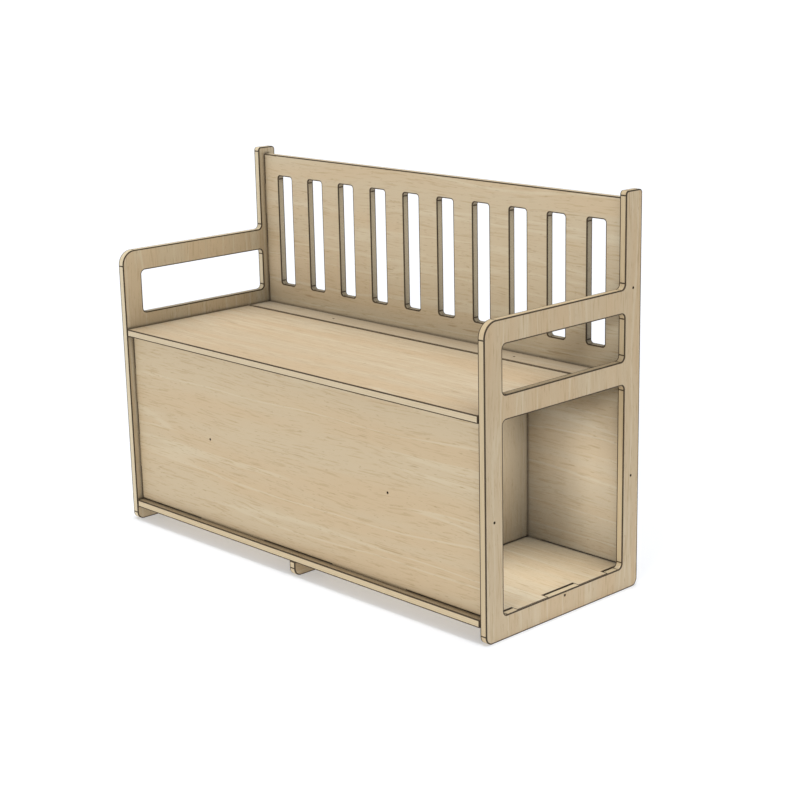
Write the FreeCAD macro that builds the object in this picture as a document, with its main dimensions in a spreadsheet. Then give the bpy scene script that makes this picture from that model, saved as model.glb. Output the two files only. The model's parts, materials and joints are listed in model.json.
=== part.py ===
import FreeCAD, Part
import os

import Sketcher

# A toddler bench cut from half-inch boards. Two side panels carry a floor, a front, a slotted back and two
# dividers on tabs that sit in blind pockets. A lid on a continuous hinge closes the bin between the
# dividers. The frame is +Z up with the front towards -Y, and the origin is on the ground under the middle
# of the bench.

# The driving dimensions in millimetres, and counts where the name says so.
SIZES = [
    # Overall size and heights above the ground
    ("bench_width", "889.0"),
    ("bench_depth", "355.6"),
    ("post_height", "647.7"),
    ("arm_height", "495.3"),
    ("seat_height", "355.6"),
    ("floor_lift", "25.4"),
    ("board", "12.7"),
    # Side panels
    ("stile_width", "38.1"),
    ("post_width", "38.1"),
    ("arm_band", "38.1"),
    ("sill_rise", "25.4"),
    ("arm_radius", "25.4"),
    ("foot_radius", "12.7"),
    ("window_radius", "8.0"),
    ("post_radius", "6.0"),
    # Front, back and dividers
    ("front_setback", "12.7"),
    ("back_setback", "12.7"),
    ("back_drop", "12.7"),
    ("cubby_width", "203.2"),
    ("slot_count", "10"),
    ("slot_width", "38.1"),
    ("slot_band", "38.1"),
    ("slot_margin", "38.1"),
    ("slot_radius", "5.0"),
    # Tabs and the blind pockets that hold them
    ("pocket_skin", "2.0"),
    ("shoulder_gap", "2.0"),
    ("tab_clearance", "0.15"),
    # Seat
    ("rail_depth", "76.2"),
    ("seat_side_gap", "1.5"),
    ("lid_rest_gap", "0.3"),
    ("edge_ease", "1.0"),
    # Continuous hinge between the lid and the rail
    ("knuckle_diameter", "3.2"),
    ("knuckle_pitch", "76.2"),
    ("knuckle_clearance", "0.3"),
    ("hinge_margin", "10.0"),
    ("leaf_thickness", "0.8"),
    ("leaf_margin", "1.6"),
    ("pin_diameter", "1.6"),
    ("pin_clearance", "0.05"),
    ("hinge_screw_count", "6"),
    ("hinge_screw_inset", "25.4"),
    ("hinge_screw_head", "3.0"),
    ("hinge_screw_shank", "1.6"),
    ("hinge_screw_length", "10.0"),
    # Wood screws, sunk below the face of the board
    ("screw_head", "4.4"),
    ("screw_head_height", "2.2"),
    ("screw_shank", "3.0"),
    ("screw_length", "32.0"),
    ("screw_point", "5.0"),
    ("screw_sink", "1.5"),
    ("screw_clearance", "0.05"),
    ("screw_margin", "4.6"),
]

# Lengths that follow from the driving dimensions
INNER_WIDTH = "(Sizes.bench_width - 2 * Sizes.board)"
POCKET_DEPTH = "(Sizes.board - Sizes.pocket_skin)"
TAB_LENGTH = f"({POCKET_DEPTH} + Sizes.shoulder_gap)"
TAB_SPAN = f"({INNER_WIDTH} + 2 * {POCKET_DEPTH})"
FLOOR_TOP = "(Sizes.floor_lift + Sizes.board)"
SEAT_BASE = "(Sizes.seat_height - Sizes.board)"
BIN_HEIGHT = f"({SEAT_BASE} - {FLOOR_TOP})"
BACK_RISE = "(Sizes.post_height - Sizes.back_drop - Sizes.seat_height)"
DIVIDER_DEPTH = "(Sizes.bench_depth - Sizes.front_setback - Sizes.back_setback - 2 * Sizes.board)"
DIVIDER_X = f"({INNER_WIDTH} / 2 - Sizes.cubby_width - Sizes.board / 2)"
BACK_INSET = "(Sizes.bench_depth - Sizes.back_setback - Sizes.board)"
POCKET_WIDTH = "(Sizes.board + 2 * Sizes.tab_clearance)"
RAIL_SCREW_INSET = "((Sizes.rail_depth - Sizes.back_setback - Sizes.board) / 2)"

# The hinge axis lies over the line between lid and rail, one knuckle radius below the seat.
HINGE_Y = "(Sizes.bench_depth / 2 - Sizes.rail_depth)"
HINGE_Z = "(Sizes.seat_height - Sizes.knuckle_diameter / 2)"
HINGE_REACH = "(Sizes.knuckle_diameter / 2 + Sizes.knuckle_clearance)"
LEAF_FACE = f"({HINGE_REACH} - Sizes.leaf_thickness)"
LEAF_DROP = "(Sizes.board - Sizes.knuckle_diameter / 2 - Sizes.leaf_margin)"
SEAT_LENGTH = f"({INNER_WIDTH} - 2 * Sizes.seat_side_gap)"
HINGE_ROOM = f"({SEAT_LENGTH} - 2 * Sizes.hinge_margin - Sizes.knuckle_pitch)"
LID_KNUCKLES = f"floor({HINGE_ROOM} / (2 * Sizes.knuckle_pitch))"
HINGE_LENGTH = f"((2 * {LID_KNUCKLES} + 1) * Sizes.knuckle_pitch)"
HINGE_SCREW_DROP = f"(({HINGE_REACH} + {LEAF_DROP}) / 2)"
HINGE_SCREW_RUN = f"({HINGE_LENGTH} - 2 * Sizes.hinge_screw_inset)"

# Depths of the pilot holes past the first board
PILOT_IN_EDGE = "(Sizes.screw_sink + Sizes.screw_length - Sizes.board)"
PILOT_PAST_GAP = f"({PILOT_IN_EDGE} - Sizes.shoulder_gap)"
FOOT_SCREW_LENGTH = "(Sizes.board + Sizes.floor_lift - Sizes.screw_sink - Sizes.screw_margin)"
PILOT_IN_FOOT = "(Sizes.floor_lift - Sizes.screw_margin)"

# A tabbed edge is divided in fifths: the second and the fourth are tabs, the middle one takes the screw.
EDGE_PARTS = 5
FULL_TURN = 360

# The screws and their holes are small and many, so they have flats to the turn. A screw's blunt tip is its
# shank divided by the tip part.
SCREW_FLATS = 12
HINGE_SCREW_FLATS = 8
TIP_PART = 5

# An edge this near to a place counts as lying there.
MATCH = 0.01

doc = FreeCAD.newDocument("ToddlerBench")
sheet = doc.addObject("Spreadsheet::Sheet", "Sizes")
for row, (alias, number) in enumerate(SIZES, start=1):
    sheet.set(f"A{row}", number)
    sheet.setAlias(f"A{row}", alias)
doc.recompute()

nodes = []


def value(expression):
    """The number that an expression over the sheet gives now."""
    return float(sheet.evalExpression(expression))


def place(item, x, y, z):
    """Bind the corner of a piece to its place in the bench."""
    item.setExpression("Placement.Base.x", x)
    item.setExpression("Placement.Base.y", y)
    item.setExpression("Placement.Base.z", z)


def new_body(label, x, y, z):
    """An empty piece with its local corner at x, y, z."""
    body = doc.addObject("PartDesign::Body", label)
    body.Label = label
    place(body, x, y, z)
    nodes.append(body)
    return body


def origin_feature(body, role):
    return next(feature for feature in body.Origin.OriginFeatures if feature.Role == role)


def new_sketch(body, name, plane, offset=("0", "0", "0")):
    """A sketch on one of the body's own planes, moved by offset along its own three axes."""
    sketch = body.newObject("Sketcher::SketchObject", name)
    sketch.AttachmentSupport = (origin_feature(body, plane), [""])
    sketch.MapMode = "FlatFace"
    for axis, distance in zip("xyz", offset):
        sketch.setExpression(f"AttachmentOffset.Base.{axis}", distance)
    return sketch


def pin_point(sketch, geometry, point, x, y):
    """Hold one point of the sketch at x, y, bound to the sheet."""
    for kind, expression in (("DistanceX", x), ("DistanceY", y)):
        constraint = Sketcher.Constraint(kind, -1, 1, geometry, point, value(expression))
        index = sketch.addConstraint(constraint)
        sketch.setExpression(f"Constraints[{index}]", expression)


def outline(sketch, corners):
    """A closed outline of straight lines through the corners."""
    first = sketch.GeometryCount
    points = [FreeCAD.Vector(value(x), value(y), 0) for x, y in corners]
    for start, end in zip(points, points[1:] + points[:1]):
        sketch.addGeometry(Part.LineSegment(start, end), False)
    for index, (x, y) in enumerate(corners):
        following = (index + 1) % len(corners)
        joined = Sketcher.Constraint("Coincident", first + index, 2, first + following, 1)
        sketch.addConstraint(joined)
        pin_point(sketch, first + index, 1, x, y)


def rectangle(sketch, left, bottom, width, height):
    right = f"{left} + {width}"
    top = f"{bottom} + {height}"
    outline(sketch, [(left, bottom), (right, bottom), (right, top), (left, top)])


def circle(sketch, x, y, diameter):
    centre = FreeCAD.Vector(value(x), value(y), 0)
    ring = Part.Circle(centre, FreeCAD.Vector(0, 0, 1), value(diameter) / 2)
    index = sketch.addGeometry(ring, False)
    pin_point(sketch, index, 3, x, y)
    size = sketch.addConstraint(Sketcher.Constraint("Diameter", index, value(diameter)))
    sketch.setExpression(f"Constraints[{size}]", diameter)


def flatted_circle(sketch, x, y, diameter, flats):
    """A small circle drawn with flats, its corners on the circle."""
    turns = [FULL_TURN * index / flats for index in range(flats)]
    radius = f"{diameter} / 2"
    outline(sketch, [(f"{x} + {radius} * cos({turn})", f"{y} + {radius} * sin({turn})") for turn in turns])


def marks(start, length):
    """The four marks that divide an edge in fifths."""
    return [f"{start} + {length} * {part} / {EDGE_PARTS}" for part in range(1, EDGE_PARTS)]


def tab_steps(edge_marks, shoulder, tip):
    """Corners along an edge whose second and fourth fifths are tabs, as (along, across) pairs."""
    first, second, third, fourth = edge_marks
    return [
        (first, shoulder), (first, tip), (second, tip), (second, shoulder),
        (third, shoulder), (third, tip), (fourth, tip), (fourth, shoulder),
    ]


def turned(steps):
    """The same corners for an edge that runs up instead of across."""
    return [(across, along) for along, across in steps]


def pad(body, sketch, length, reverse=False):
    feature = body.newObject("PartDesign::Pad", f"{sketch.Name}_pad")
    feature.Profile = sketch
    feature.setExpression("Length", length)
    feature.Reversed = reverse
    doc.recompute()
    return feature


def must_cut(feature, before):
    """Stop if a cut took nothing away."""
    if not feature.Shape.Volume < before:
        raise ValueError(f"{feature.Name} cuts nothing")
    return feature


def pocket(body, sketch, depth, along_normal=False):
    """Cut the sketch to a depth, against its plane's normal or along it."""
    before = body.Tip.Shape.Volume
    feature = body.newObject("PartDesign::Pocket", f"{sketch.Name}_pocket")
    feature.Profile = sketch
    feature.setExpression("Length", depth)
    feature.Reversed = along_normal
    doc.recompute()
    return must_cut(feature, before)


def repeat(body, feature, length, count):
    """Copies of a feature along the body's X axis."""
    pattern = body.newObject("PartDesign::LinearPattern", f"{feature.Name}_row")
    pattern.Originals = [feature]
    pattern.Direction = (origin_feature(body, "X_Axis"), [""])
    pattern.setExpression("Length", length)
    pattern.setExpression("Occurrences", count)
    body.Tip = pattern
    doc.recompute()
    return pattern


def loft(body, kind, name, sections):
    """A straight-sided solid or cut through the sections in turn."""
    feature = body.newObject(f"PartDesign::{kind}", name)
    feature.Profile = sections[0]
    feature.Sections = sections[1:]
    feature.Ruled = True
    doc.recompute()
    return feature


def edges_at(shape, direction, wanted):
    """Names of the straight edges along a direction whose middle the test accepts."""
    found = []
    for index, edge in enumerate(shape.Edges, start=1):
        start, end = (vertex.Point for vertex in (edge.Vertexes[0], edge.Vertexes[-1]))
        run = end - start
        if run.Length < MATCH or run.cross(direction).Length > MATCH:
            continue
        if wanted(edge.CenterOfMass):
            found.append(f"Edge{index}")
    return found


def near_any(first, second, places):
    """A test for edges that pass one of the places, given by the names of two axes."""
    spots = [(value(a), value(b)) for a, b in places]

    def wanted(point):
        here = (getattr(point, first), getattr(point, second))
        return any(abs(here[0] - a) < MATCH and abs(here[1] - b) < MATCH for a, b in spots)

    return wanted


def fillet(body, name, direction, wanted, radius):
    """Round the edges that the test accepts."""
    base = body.Tip
    feature = body.newObject("PartDesign::Fillet", name)
    feature.Base = (base, edges_at(base.Shape, direction, wanted))
    feature.setExpression("Radius", radius)
    doc.recompute()
    return feature


def corner_places(left, bottom, right, top):
    return [(left, bottom), (right, bottom), (right, top), (left, top)]


def pair_of_pockets(sketch, edge_marks, across, upright=False):
    """Pockets for the two tabs of an edge, wider than the tabs by the clearance."""
    for start, end in (edge_marks[:2], edge_marks[2:]):
        along = f"{start} - Sizes.tab_clearance"
        length = f"({end} - ({start}) + 2 * Sizes.tab_clearance)"
        inset = f"{across} - Sizes.tab_clearance"
        if upright:
            rectangle(sketch, inset, along, POCKET_WIDTH, length)
        else:
            rectangle(sketch, along, inset, length, POCKET_WIDTH)


SHANK_HOLE = "(Sizes.screw_shank + 2 * Sizes.screw_clearance)"
HEAD_HOLE = "(Sizes.screw_head + 2 * Sizes.screw_clearance)"
HEAD_DEPTH = "(Sizes.screw_sink + Sizes.screw_head_height)"


def drill(body, name, plane, offset, centres, depth, along_normal,
          diameter=SHANK_HOLE, flats=SCREW_FLATS):
    """Screw holes from a plane of the body moved out by offset."""
    sketch = new_sketch(body, name, plane, ("0", "0", offset))
    for x, y in centres:
        flatted_circle(sketch, x, y, diameter, flats)
    return pocket(body, sketch, depth, along_normal)


def drill_sunk(body, name, plane, offset, centres, along_normal):
    """Screw holes through a board, wide at the face so that the heads sink in."""
    drill(body, f"{name}_sink", plane, offset, centres, HEAD_DEPTH, along_normal, HEAD_HOLE)
    drill(body, f"{name}_shank", plane, offset, centres, "Sizes.board", along_normal)


X_AXIS = FreeCAD.Vector(1, 0, 0)
Y_AXIS = FreeCAD.Vector(0, 1, 0)

BIN_MARKS = marks(FLOOR_TOP, BIN_HEIGHT)
BACK_MARKS = marks("Sizes.seat_height", BACK_RISE)
DEPTH_MARKS = marks("0", "Sizes.bench_depth")
FLOOR_X_MARKS = marks(POCKET_DEPTH, INNER_WIDTH)
BIN_MIDDLE = f"({FLOOR_TOP} + {BIN_HEIGHT} / 2)"
BACK_MIDDLE = f"(Sizes.seat_height + {BACK_RISE} / 2)"
FRONT_EDGE = "(-Sizes.bench_depth / 2)"
SIDE_SCREWS = [
    (f"{BACK_INSET} + Sizes.board / 2", BACK_MIDDLE),
    (f"{BACK_INSET} + Sizes.board / 2", BIN_MIDDLE),
    ("Sizes.front_setback + Sizes.board / 2", BIN_MIDDLE),
    ("Sizes.bench_depth / 2", "Sizes.floor_lift + Sizes.board / 2"),
]


def side_panel(label, x, is_left):
    """One board with a rear post, an arm over a window, and a larger window for the cubby."""
    body = new_body(label, x, FRONT_EDGE, "0")
    depth = "Sizes.bench_depth"
    post_front = "(Sizes.bench_depth - Sizes.post_width)"
    sill = "(Sizes.seat_height + Sizes.sill_rise)"
    arm_underside = "(Sizes.arm_height - Sizes.arm_band)"
    arm_window = corner_places("Sizes.stile_width", sill, post_front, arm_underside)
    cubby_window = corner_places("Sizes.stile_width", FLOOR_TOP, post_front, SEAT_BASE)

    profile = new_sketch(body, f"{label}_profile", "YZ_Plane")
    outline(profile, [
        ("0", "0"), (depth, "0"), (depth, "Sizes.post_height"), (post_front, "Sizes.post_height"),
        (post_front, "Sizes.arm_height"), ("0", "Sizes.arm_height"),
    ])
    outline(profile, arm_window)
    outline(profile, cubby_window)
    pad(body, profile, "Sizes.board")

    feet = near_any("y", "z", [("0", "0"), (depth, "0")])
    post_top = near_any("y", "z", [(depth, "Sizes.post_height"), (post_front, "Sizes.post_height")])
    arm_front = near_any("y", "z", [("0", "Sizes.arm_height")])
    inner_corners = near_any("y", "z", arm_window + cubby_window + [(post_front, "Sizes.arm_height")])
    fillet(body, f"{label}_feet", X_AXIS, feet, "Sizes.foot_radius")
    fillet(body, f"{label}_post_top", X_AXIS, post_top, "Sizes.post_radius")
    fillet(body, f"{label}_arm_front", X_AXIS, arm_front, "Sizes.arm_radius")
    fillet(body, f"{label}_inner_corners", X_AXIS, inner_corners, "Sizes.window_radius")

    inner_face = "Sizes.board" if is_left else "0"
    outer_face = "0" if is_left else "Sizes.board"
    pockets = new_sketch(body, f"{label}_tabs", "YZ_Plane", ("0", "0", inner_face))
    pair_of_pockets(pockets, BIN_MARKS, "Sizes.front_setback", upright=True)
    pair_of_pockets(pockets, BIN_MARKS, BACK_INSET, upright=True)
    pair_of_pockets(pockets, BACK_MARKS, BACK_INSET, upright=True)
    pair_of_pockets(pockets, DEPTH_MARKS, "Sizes.floor_lift")
    pocket(body, pockets, POCKET_DEPTH, along_normal=not is_left)
    drill_sunk(body, f"{label}_screw", "YZ_Plane", outer_face, SIDE_SCREWS, along_normal=is_left)
    return body


def drill_ends(body, middle_y, middle_z):
    """Pilot holes in both shoulders of a board that hangs between the side panels."""
    centre = [(middle_y, middle_z)]
    right = f"{TAB_SPAN} - {TAB_LENGTH}"
    drill(body, f"{body.Name}_left_pilot", "YZ_Plane", TAB_LENGTH, centre, PILOT_PAST_GAP, True)
    drill(body, f"{body.Name}_right_pilot", "YZ_Plane", right, centre, PILOT_PAST_GAP, False)


def spanning_outline(sketch, edge_marks, height, foot_steps=(), base="0"):
    """A board between the sides: tabs at both ends, and tabs along its lower edge if given."""
    right = f"{TAB_SPAN} - {TAB_LENGTH}"
    right_end = turned(tab_steps(edge_marks, right, TAB_SPAN))
    left_end = turned(tab_steps(edge_marks, TAB_LENGTH, "0"))
    outline(sketch, [
        (TAB_LENGTH, base), *foot_steps, (right, base), *right_end,
        (right, height), (TAB_LENGTH, height), *reversed(left_end),
    ])


def floor_panel():
    """The floor, flush with the side panels at the front and the rear."""
    label = "floor_panel"
    body = new_body(label, f"-{TAB_SPAN} / 2", FRONT_EDGE, "Sizes.floor_lift")
    profile = new_sketch(body, f"{label}_profile", "XY_Plane")
    spanning_outline(profile, DEPTH_MARKS, "Sizes.bench_depth")
    pad(body, profile, "Sizes.board")

    divider_marks = marks("(Sizes.front_setback + Sizes.board)", DIVIDER_DEPTH)
    left_divider_x = f"({TAB_SPAN} / 2 - {DIVIDER_X})"
    right_divider_x = f"({TAB_SPAN} / 2 + {DIVIDER_X})"
    upper = new_sketch(body, f"{label}_upper_tabs", "XY_Plane", ("0", "0", "Sizes.board"))
    pair_of_pockets(upper, FLOOR_X_MARKS, "Sizes.front_setback")
    pair_of_pockets(upper, FLOOR_X_MARKS, BACK_INSET)
    for centre in (left_divider_x, right_divider_x):
        pair_of_pockets(upper, divider_marks, f"{centre} - Sizes.board / 2", upright=True)
    pocket(body, upper, POCKET_DEPTH)
    lower = new_sketch(body, f"{label}_foot_tabs", "XY_Plane")
    pair_of_pockets(lower, DEPTH_MARKS, f"{TAB_SPAN} / 2 - Sizes.board / 2", upright=True)
    pocket(body, lower, POCKET_DEPTH, along_normal=True)

    middle = "Sizes.bench_depth / 2"
    dividers = [(left_divider_x, middle), (right_divider_x, middle)]
    drill_sunk(body, f"{label}_divider", "XY_Plane", "0", dividers, True)
    drill_sunk(body, f"{label}_foot", "XY_Plane", "Sizes.board", [(f"{TAB_SPAN} / 2", middle)], False)
    drill_ends(body, middle, "Sizes.board / 2")
    return body


PANEL_TOP = f"({POCKET_DEPTH} + {BIN_HEIGHT})"
PANEL_MIDDLE = f"({POCKET_DEPTH} + {BIN_HEIGHT} / 2)"


def bin_panel(label, y, faces_back):
    """The front or the rear wall of the bin. Both are the same board, the rear one turned about."""
    side = "" if faces_back else "-"
    body = new_body(label, f"{side}{TAB_SPAN} / 2", y, f"{FLOOR_TOP} - {POCKET_DEPTH}")
    if faces_back:
        body.Placement.Rotation = FreeCAD.Rotation(FreeCAD.Vector(0, 0, 1), FULL_TURN / 2)
    profile = new_sketch(body, f"{label}_profile", "XZ_Plane")
    foot_steps = tab_steps(FLOOR_X_MARKS, TAB_LENGTH, "0")
    edge_marks = marks(POCKET_DEPTH, BIN_HEIGHT)
    spanning_outline(profile, edge_marks, PANEL_TOP, foot_steps, TAB_LENGTH)
    pad(body, profile, "Sizes.board", reverse=True)
    centres = [(f"{TAB_SPAN} / 2 {sign} {DIVIDER_X}", PANEL_MIDDLE) for sign in "-+"]
    drill_sunk(body, f"{label}_screw", "XZ_Plane", "0", centres, False)
    drill_ends(body, "Sizes.board / 2", PANEL_MIDDLE)
    return body


def upper_back_panel():
    """The back rest: a row of upright slots with rounded corners, standing on the seat rail."""
    label = "upper_back_panel"
    body = new_body(label, f"-{TAB_SPAN} / 2", f"{FRONT_EDGE} + {BACK_INSET}", "Sizes.seat_height")
    profile = new_sketch(body, f"{label}_profile", "XZ_Plane")
    spanning_outline(profile, marks("0", BACK_RISE), BACK_RISE)
    pad(body, profile, "Sizes.board", reverse=True)

    slot = new_sketch(body, f"{label}_slot", "XZ_Plane")
    slot_left = f"({POCKET_DEPTH} + Sizes.slot_margin)"
    slot_height = f"({BACK_RISE} - 2 * Sizes.slot_band)"
    rectangle(slot, slot_left, "Sizes.slot_band", "Sizes.slot_width", slot_height)
    first_slot = pocket(body, slot, "Sizes.board")
    slot_run = f"{INNER_WIDTH} - 2 * Sizes.slot_margin - Sizes.slot_width"
    repeat(body, first_slot, slot_run, "Sizes.slot_count")

    levels = (value("Sizes.slot_band"), value(f"{BACK_RISE} - Sizes.slot_band"))

    def slot_corner(point):
        return any(abs(point.z - level) < MATCH for level in levels)

    fillet(body, f"{label}_slot_corners", Y_AXIS, slot_corner, "Sizes.slot_radius")
    drill_ends(body, "Sizes.board / 2", f"{BACK_RISE} / 2")
    return body


def divider(label, side):
    """A wall between the bin and a cubby, tabbed into the floor and screwed at its other edges."""
    body = new_body(label, f"{side} * {DIVIDER_X} - Sizes.board / 2",
                    f"{FRONT_EDGE} + Sizes.front_setback + Sizes.board", f"{FLOOR_TOP} - {POCKET_DEPTH}")
    profile = new_sketch(body, f"{label}_profile", "YZ_Plane")
    steps = tab_steps(marks("0", DIVIDER_DEPTH), TAB_LENGTH, "0")
    outline(profile, [
        ("0", TAB_LENGTH), *steps, (DIVIDER_DEPTH, TAB_LENGTH), (DIVIDER_DEPTH, PANEL_TOP), ("0", PANEL_TOP),
    ])
    pad(body, profile, "Sizes.board")
    half_board = "Sizes.board / 2"
    rail_screw_y = f"{DIVIDER_DEPTH} - {RAIL_SCREW_INSET}"
    edge_centre = [(half_board, PANEL_MIDDLE)]
    drill(body, f"{label}_front_pilot", "XZ_Plane", "0", edge_centre, PILOT_IN_EDGE, False)
    drill(body, f"{label}_rear_pilot", "XZ_Plane", f"-{DIVIDER_DEPTH}", edge_centre, PILOT_IN_EDGE, True)
    top_centre = [(half_board, rail_screw_y)]
    foot_centre = [(half_board, f"{DIVIDER_DEPTH} / 2")]
    drill(body, f"{label}_top_pilot", "XY_Plane", PANEL_TOP, top_centre, PILOT_IN_EDGE, False)
    drill(body, f"{label}_foot_pilot", "XY_Plane", TAB_LENGTH, foot_centre, PILOT_PAST_GAP, True)
    return body


def center_foot():
    """A board on edge that holds up the middle of the floor."""
    label = "center_foot"
    body = new_body(label, "-Sizes.board / 2", FRONT_EDGE, "0")
    profile = new_sketch(body, f"{label}_profile", "YZ_Plane")
    depth = "Sizes.bench_depth"
    steps = tab_steps(DEPTH_MARKS, "Sizes.floor_lift", f"Sizes.floor_lift + {POCKET_DEPTH}")
    outline(profile, [
        ("0", "0"), (depth, "0"), (depth, "Sizes.floor_lift"), *reversed(steps), ("0", "Sizes.floor_lift"),
    ])
    pad(body, profile, "Sizes.board")
    corners = near_any("y", "z", [("0", "0"), (depth, "0")])
    fillet(body, f"{label}_corners", X_AXIS, corners, "Sizes.foot_radius")
    pilot_centre = [("Sizes.board / 2", f"{depth} / 2")]
    drill(body, f"{label}_pilot", "XY_Plane", "Sizes.floor_lift", pilot_centre, PILOT_IN_FOOT, False)
    return body


HINGE_HEAD_HOLE = "(Sizes.hinge_screw_head + 2 * Sizes.screw_clearance)"
HINGE_HOLE = "(Sizes.hinge_screw_shank + 2 * Sizes.screw_clearance)"
HINGE_HOLE_DEPTH = "(Sizes.hinge_screw_length - Sizes.leaf_thickness)"
FIRST_HINGE_SCREW = f"(({SEAT_LENGTH} - {HINGE_LENGTH}) / 2 + Sizes.hinge_screw_inset)"


def drill_hinge_edge(body, plane_offset, height, along_normal):
    """The row of small holes for the hinge screws in the edge of a seat board."""
    centre = [(FIRST_HINGE_SCREW, height)]
    hole = drill(body, f"{body.Name}_hinge_hole", "XZ_Plane", plane_offset, centre,
                 HINGE_HOLE_DEPTH, along_normal, HINGE_HOLE, HINGE_SCREW_FLATS)
    repeat(body, hole, HINGE_SCREW_RUN, "Sizes.hinge_screw_count")


def seat_lid():
    """The lift-up seat. It lies just clear of the panels, and its hinge edge is eased for the swing."""
    label = "seat_lid"
    depth = f"(Sizes.bench_depth - Sizes.rail_depth - {HINGE_REACH})"
    body = new_body(label, f"-{SEAT_LENGTH} / 2", FRONT_EDGE, f"{SEAT_BASE} + Sizes.lid_rest_gap")
    profile = new_sketch(body, f"{label}_profile", "XY_Plane")
    rectangle(profile, "0", "0", SEAT_LENGTH, depth)
    pad(body, profile, "Sizes.board")
    hinge_edge = near_any("y", "z", [(depth, "Sizes.board")])
    fillet(body, f"{label}_hinge_edge", X_AXIS, hinge_edge, "Sizes.edge_ease")
    height = f"{HINGE_Z} - {HINGE_SCREW_DROP} - {SEAT_BASE} - Sizes.lid_rest_gap"
    drill_hinge_edge(body, f"-{depth}", height, True)
    return body


def seat_rail():
    """The fixed strip behind the lid. The back rest stands on it."""
    label = "seat_rail"
    depth = f"(Sizes.rail_depth - {HINGE_REACH})"
    body = new_body(label, f"-{SEAT_LENGTH} / 2", f"{HINGE_Y} + {HINGE_REACH}", SEAT_BASE)
    profile = new_sketch(body, f"{label}_profile", "XY_Plane")
    rectangle(profile, "0", "0", SEAT_LENGTH, depth)
    pad(body, profile, "Sizes.board")
    hinge_edge = near_any("y", "z", [("0", "Sizes.board")])
    fillet(body, f"{label}_hinge_edge", X_AXIS, hinge_edge, "Sizes.edge_ease")
    drill_hinge_edge(body, "0", f"{HINGE_Z} - {HINGE_SCREW_DROP} - {SEAT_BASE}", False)
    screw_y = f"{RAIL_SCREW_INSET} - {HINGE_REACH}"
    centres = [(f"{SEAT_LENGTH} / 2 {sign} {DIVIDER_X}", screw_y) for sign in "-+"]
    drill_sunk(body, f"{label}_screw", "XY_Plane", "Sizes.board", centres, False)
    return body


def knuckle_profile(sketch, side):
    """A strip of leaf that runs up into a rolled knuckle, with the bore for the pin.

    side is -1 for the leaf in front of the axis and 1 for the one behind it.
    """
    radius = value("Sizes.knuckle_diameter / 2")
    face = value(LEAF_FACE)
    reach = value(HINGE_REACH)
    meeting = -((radius ** 2 - face ** 2) ** 0.5)

    def at(across, up):
        return FreeCAD.Vector(side * across, up, 0)

    corners = [at(face, meeting), at(face, -reach), at(reach, -reach), at(reach, 0), at(radius, 0)]
    for start, end in zip(corners, corners[1:]):
        sketch.addGeometry(Part.LineSegment(start, end), False)
    roll = Part.Arc(at(radius, 0), at(-radius, 0), at(face, meeting))
    sketch.addGeometry(roll, False)
    last = len(corners) - 1
    arc_start, arc_end = (1, 2) if side > 0 else (2, 1)
    for index in range(last - 1):
        sketch.addConstraint(Sketcher.Constraint("Coincident", index, 2, index + 1, 1))
    sketch.addConstraint(Sketcher.Constraint("Coincident", last - 1, 2, last, arc_start))
    sketch.addConstraint(Sketcher.Constraint("Coincident", 0, 1, last, arc_end))
    sketch.addConstraint(Sketcher.Constraint("Coincident", last, 3, -1, 1))
    roll_size = sketch.addConstraint(Sketcher.Constraint("Radius", last, radius))
    sketch.setExpression(f"Constraints[{roll_size}]", "Sizes.knuckle_diameter / 2")
    sketch.addConstraint(Sketcher.Constraint("Vertical", 0))
    pin_point(sketch, 1, 1, f"{side} * {LEAF_FACE}", f"-{HINGE_REACH}")
    pin_point(sketch, 2, 1, f"{side} * {HINGE_REACH}", f"-{HINGE_REACH}")
    pin_point(sketch, 3, 1, f"{side} * {HINGE_REACH}", "0")
    sketch.addConstraint(Sketcher.Constraint("Horizontal", last - 1))
    circle(sketch, "0", "0", "Sizes.pin_diameter + 2 * Sizes.pin_clearance")


def hinge_screw_sections(body, side, steps):
    """Sections across a hinge screw or its seat, given as (depth from the face of the leaf, diameter)."""
    sections = []
    for number, (depth, diameter) in enumerate(steps, start=1):
        across = f"-{side} * ({LEAF_FACE} + {depth})"
        offset = ("Sizes.hinge_screw_inset", f"-{HINGE_SCREW_DROP}", across)
        section = new_sketch(body, f"{body.Name}_section_{number}", "XZ_Plane", offset)
        flatted_circle(section, "0", "0", diameter, HINGE_SCREW_FLATS)
        sections.append(section)
    return sections


def hinge_leaf(label, side, first_knuckle, knuckles):
    """A leaf on the edge of a seat board, its knuckles in turn with those of the other leaf."""
    body = new_body(label, f"-{HINGE_LENGTH} / 2", HINGE_Y, HINGE_Z)
    section = new_sketch(body, f"{label}_section", "YZ_Plane")
    near_face = f"{side} * {LEAF_FACE}"
    far_face = f"{side} * {HINGE_REACH}"
    outline(section, [
        (near_face, f"-{LEAF_DROP}"), (far_face, f"-{LEAF_DROP}"),
        (far_face, f"-{HINGE_REACH}"), (near_face, f"-{HINGE_REACH}"),
    ])
    pad(body, section, HINGE_LENGTH)

    start = f"{first_knuckle} * Sizes.knuckle_pitch + Sizes.knuckle_clearance / 2"
    knuckle = new_sketch(body, f"{label}_knuckle", "YZ_Plane", ("0", "0", start))
    knuckle_profile(knuckle, side)
    first = pad(body, knuckle, "Sizes.knuckle_pitch - Sizes.knuckle_clearance")
    repeat(body, first, f"2 * ({knuckles} - 1) * Sizes.knuckle_pitch", knuckles)

    before = body.Tip.Shape.Volume
    steps = [("0", HINGE_HEAD_HOLE), ("Sizes.leaf_thickness", HINGE_HOLE)]
    sections = hinge_screw_sections(body, side, steps)
    seat = must_cut(loft(body, "SubtractiveLoft", f"{label}_screw_seat", sections), before)
    repeat(body, seat, HINGE_SCREW_RUN, "Sizes.hinge_screw_count")
    return body


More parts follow.
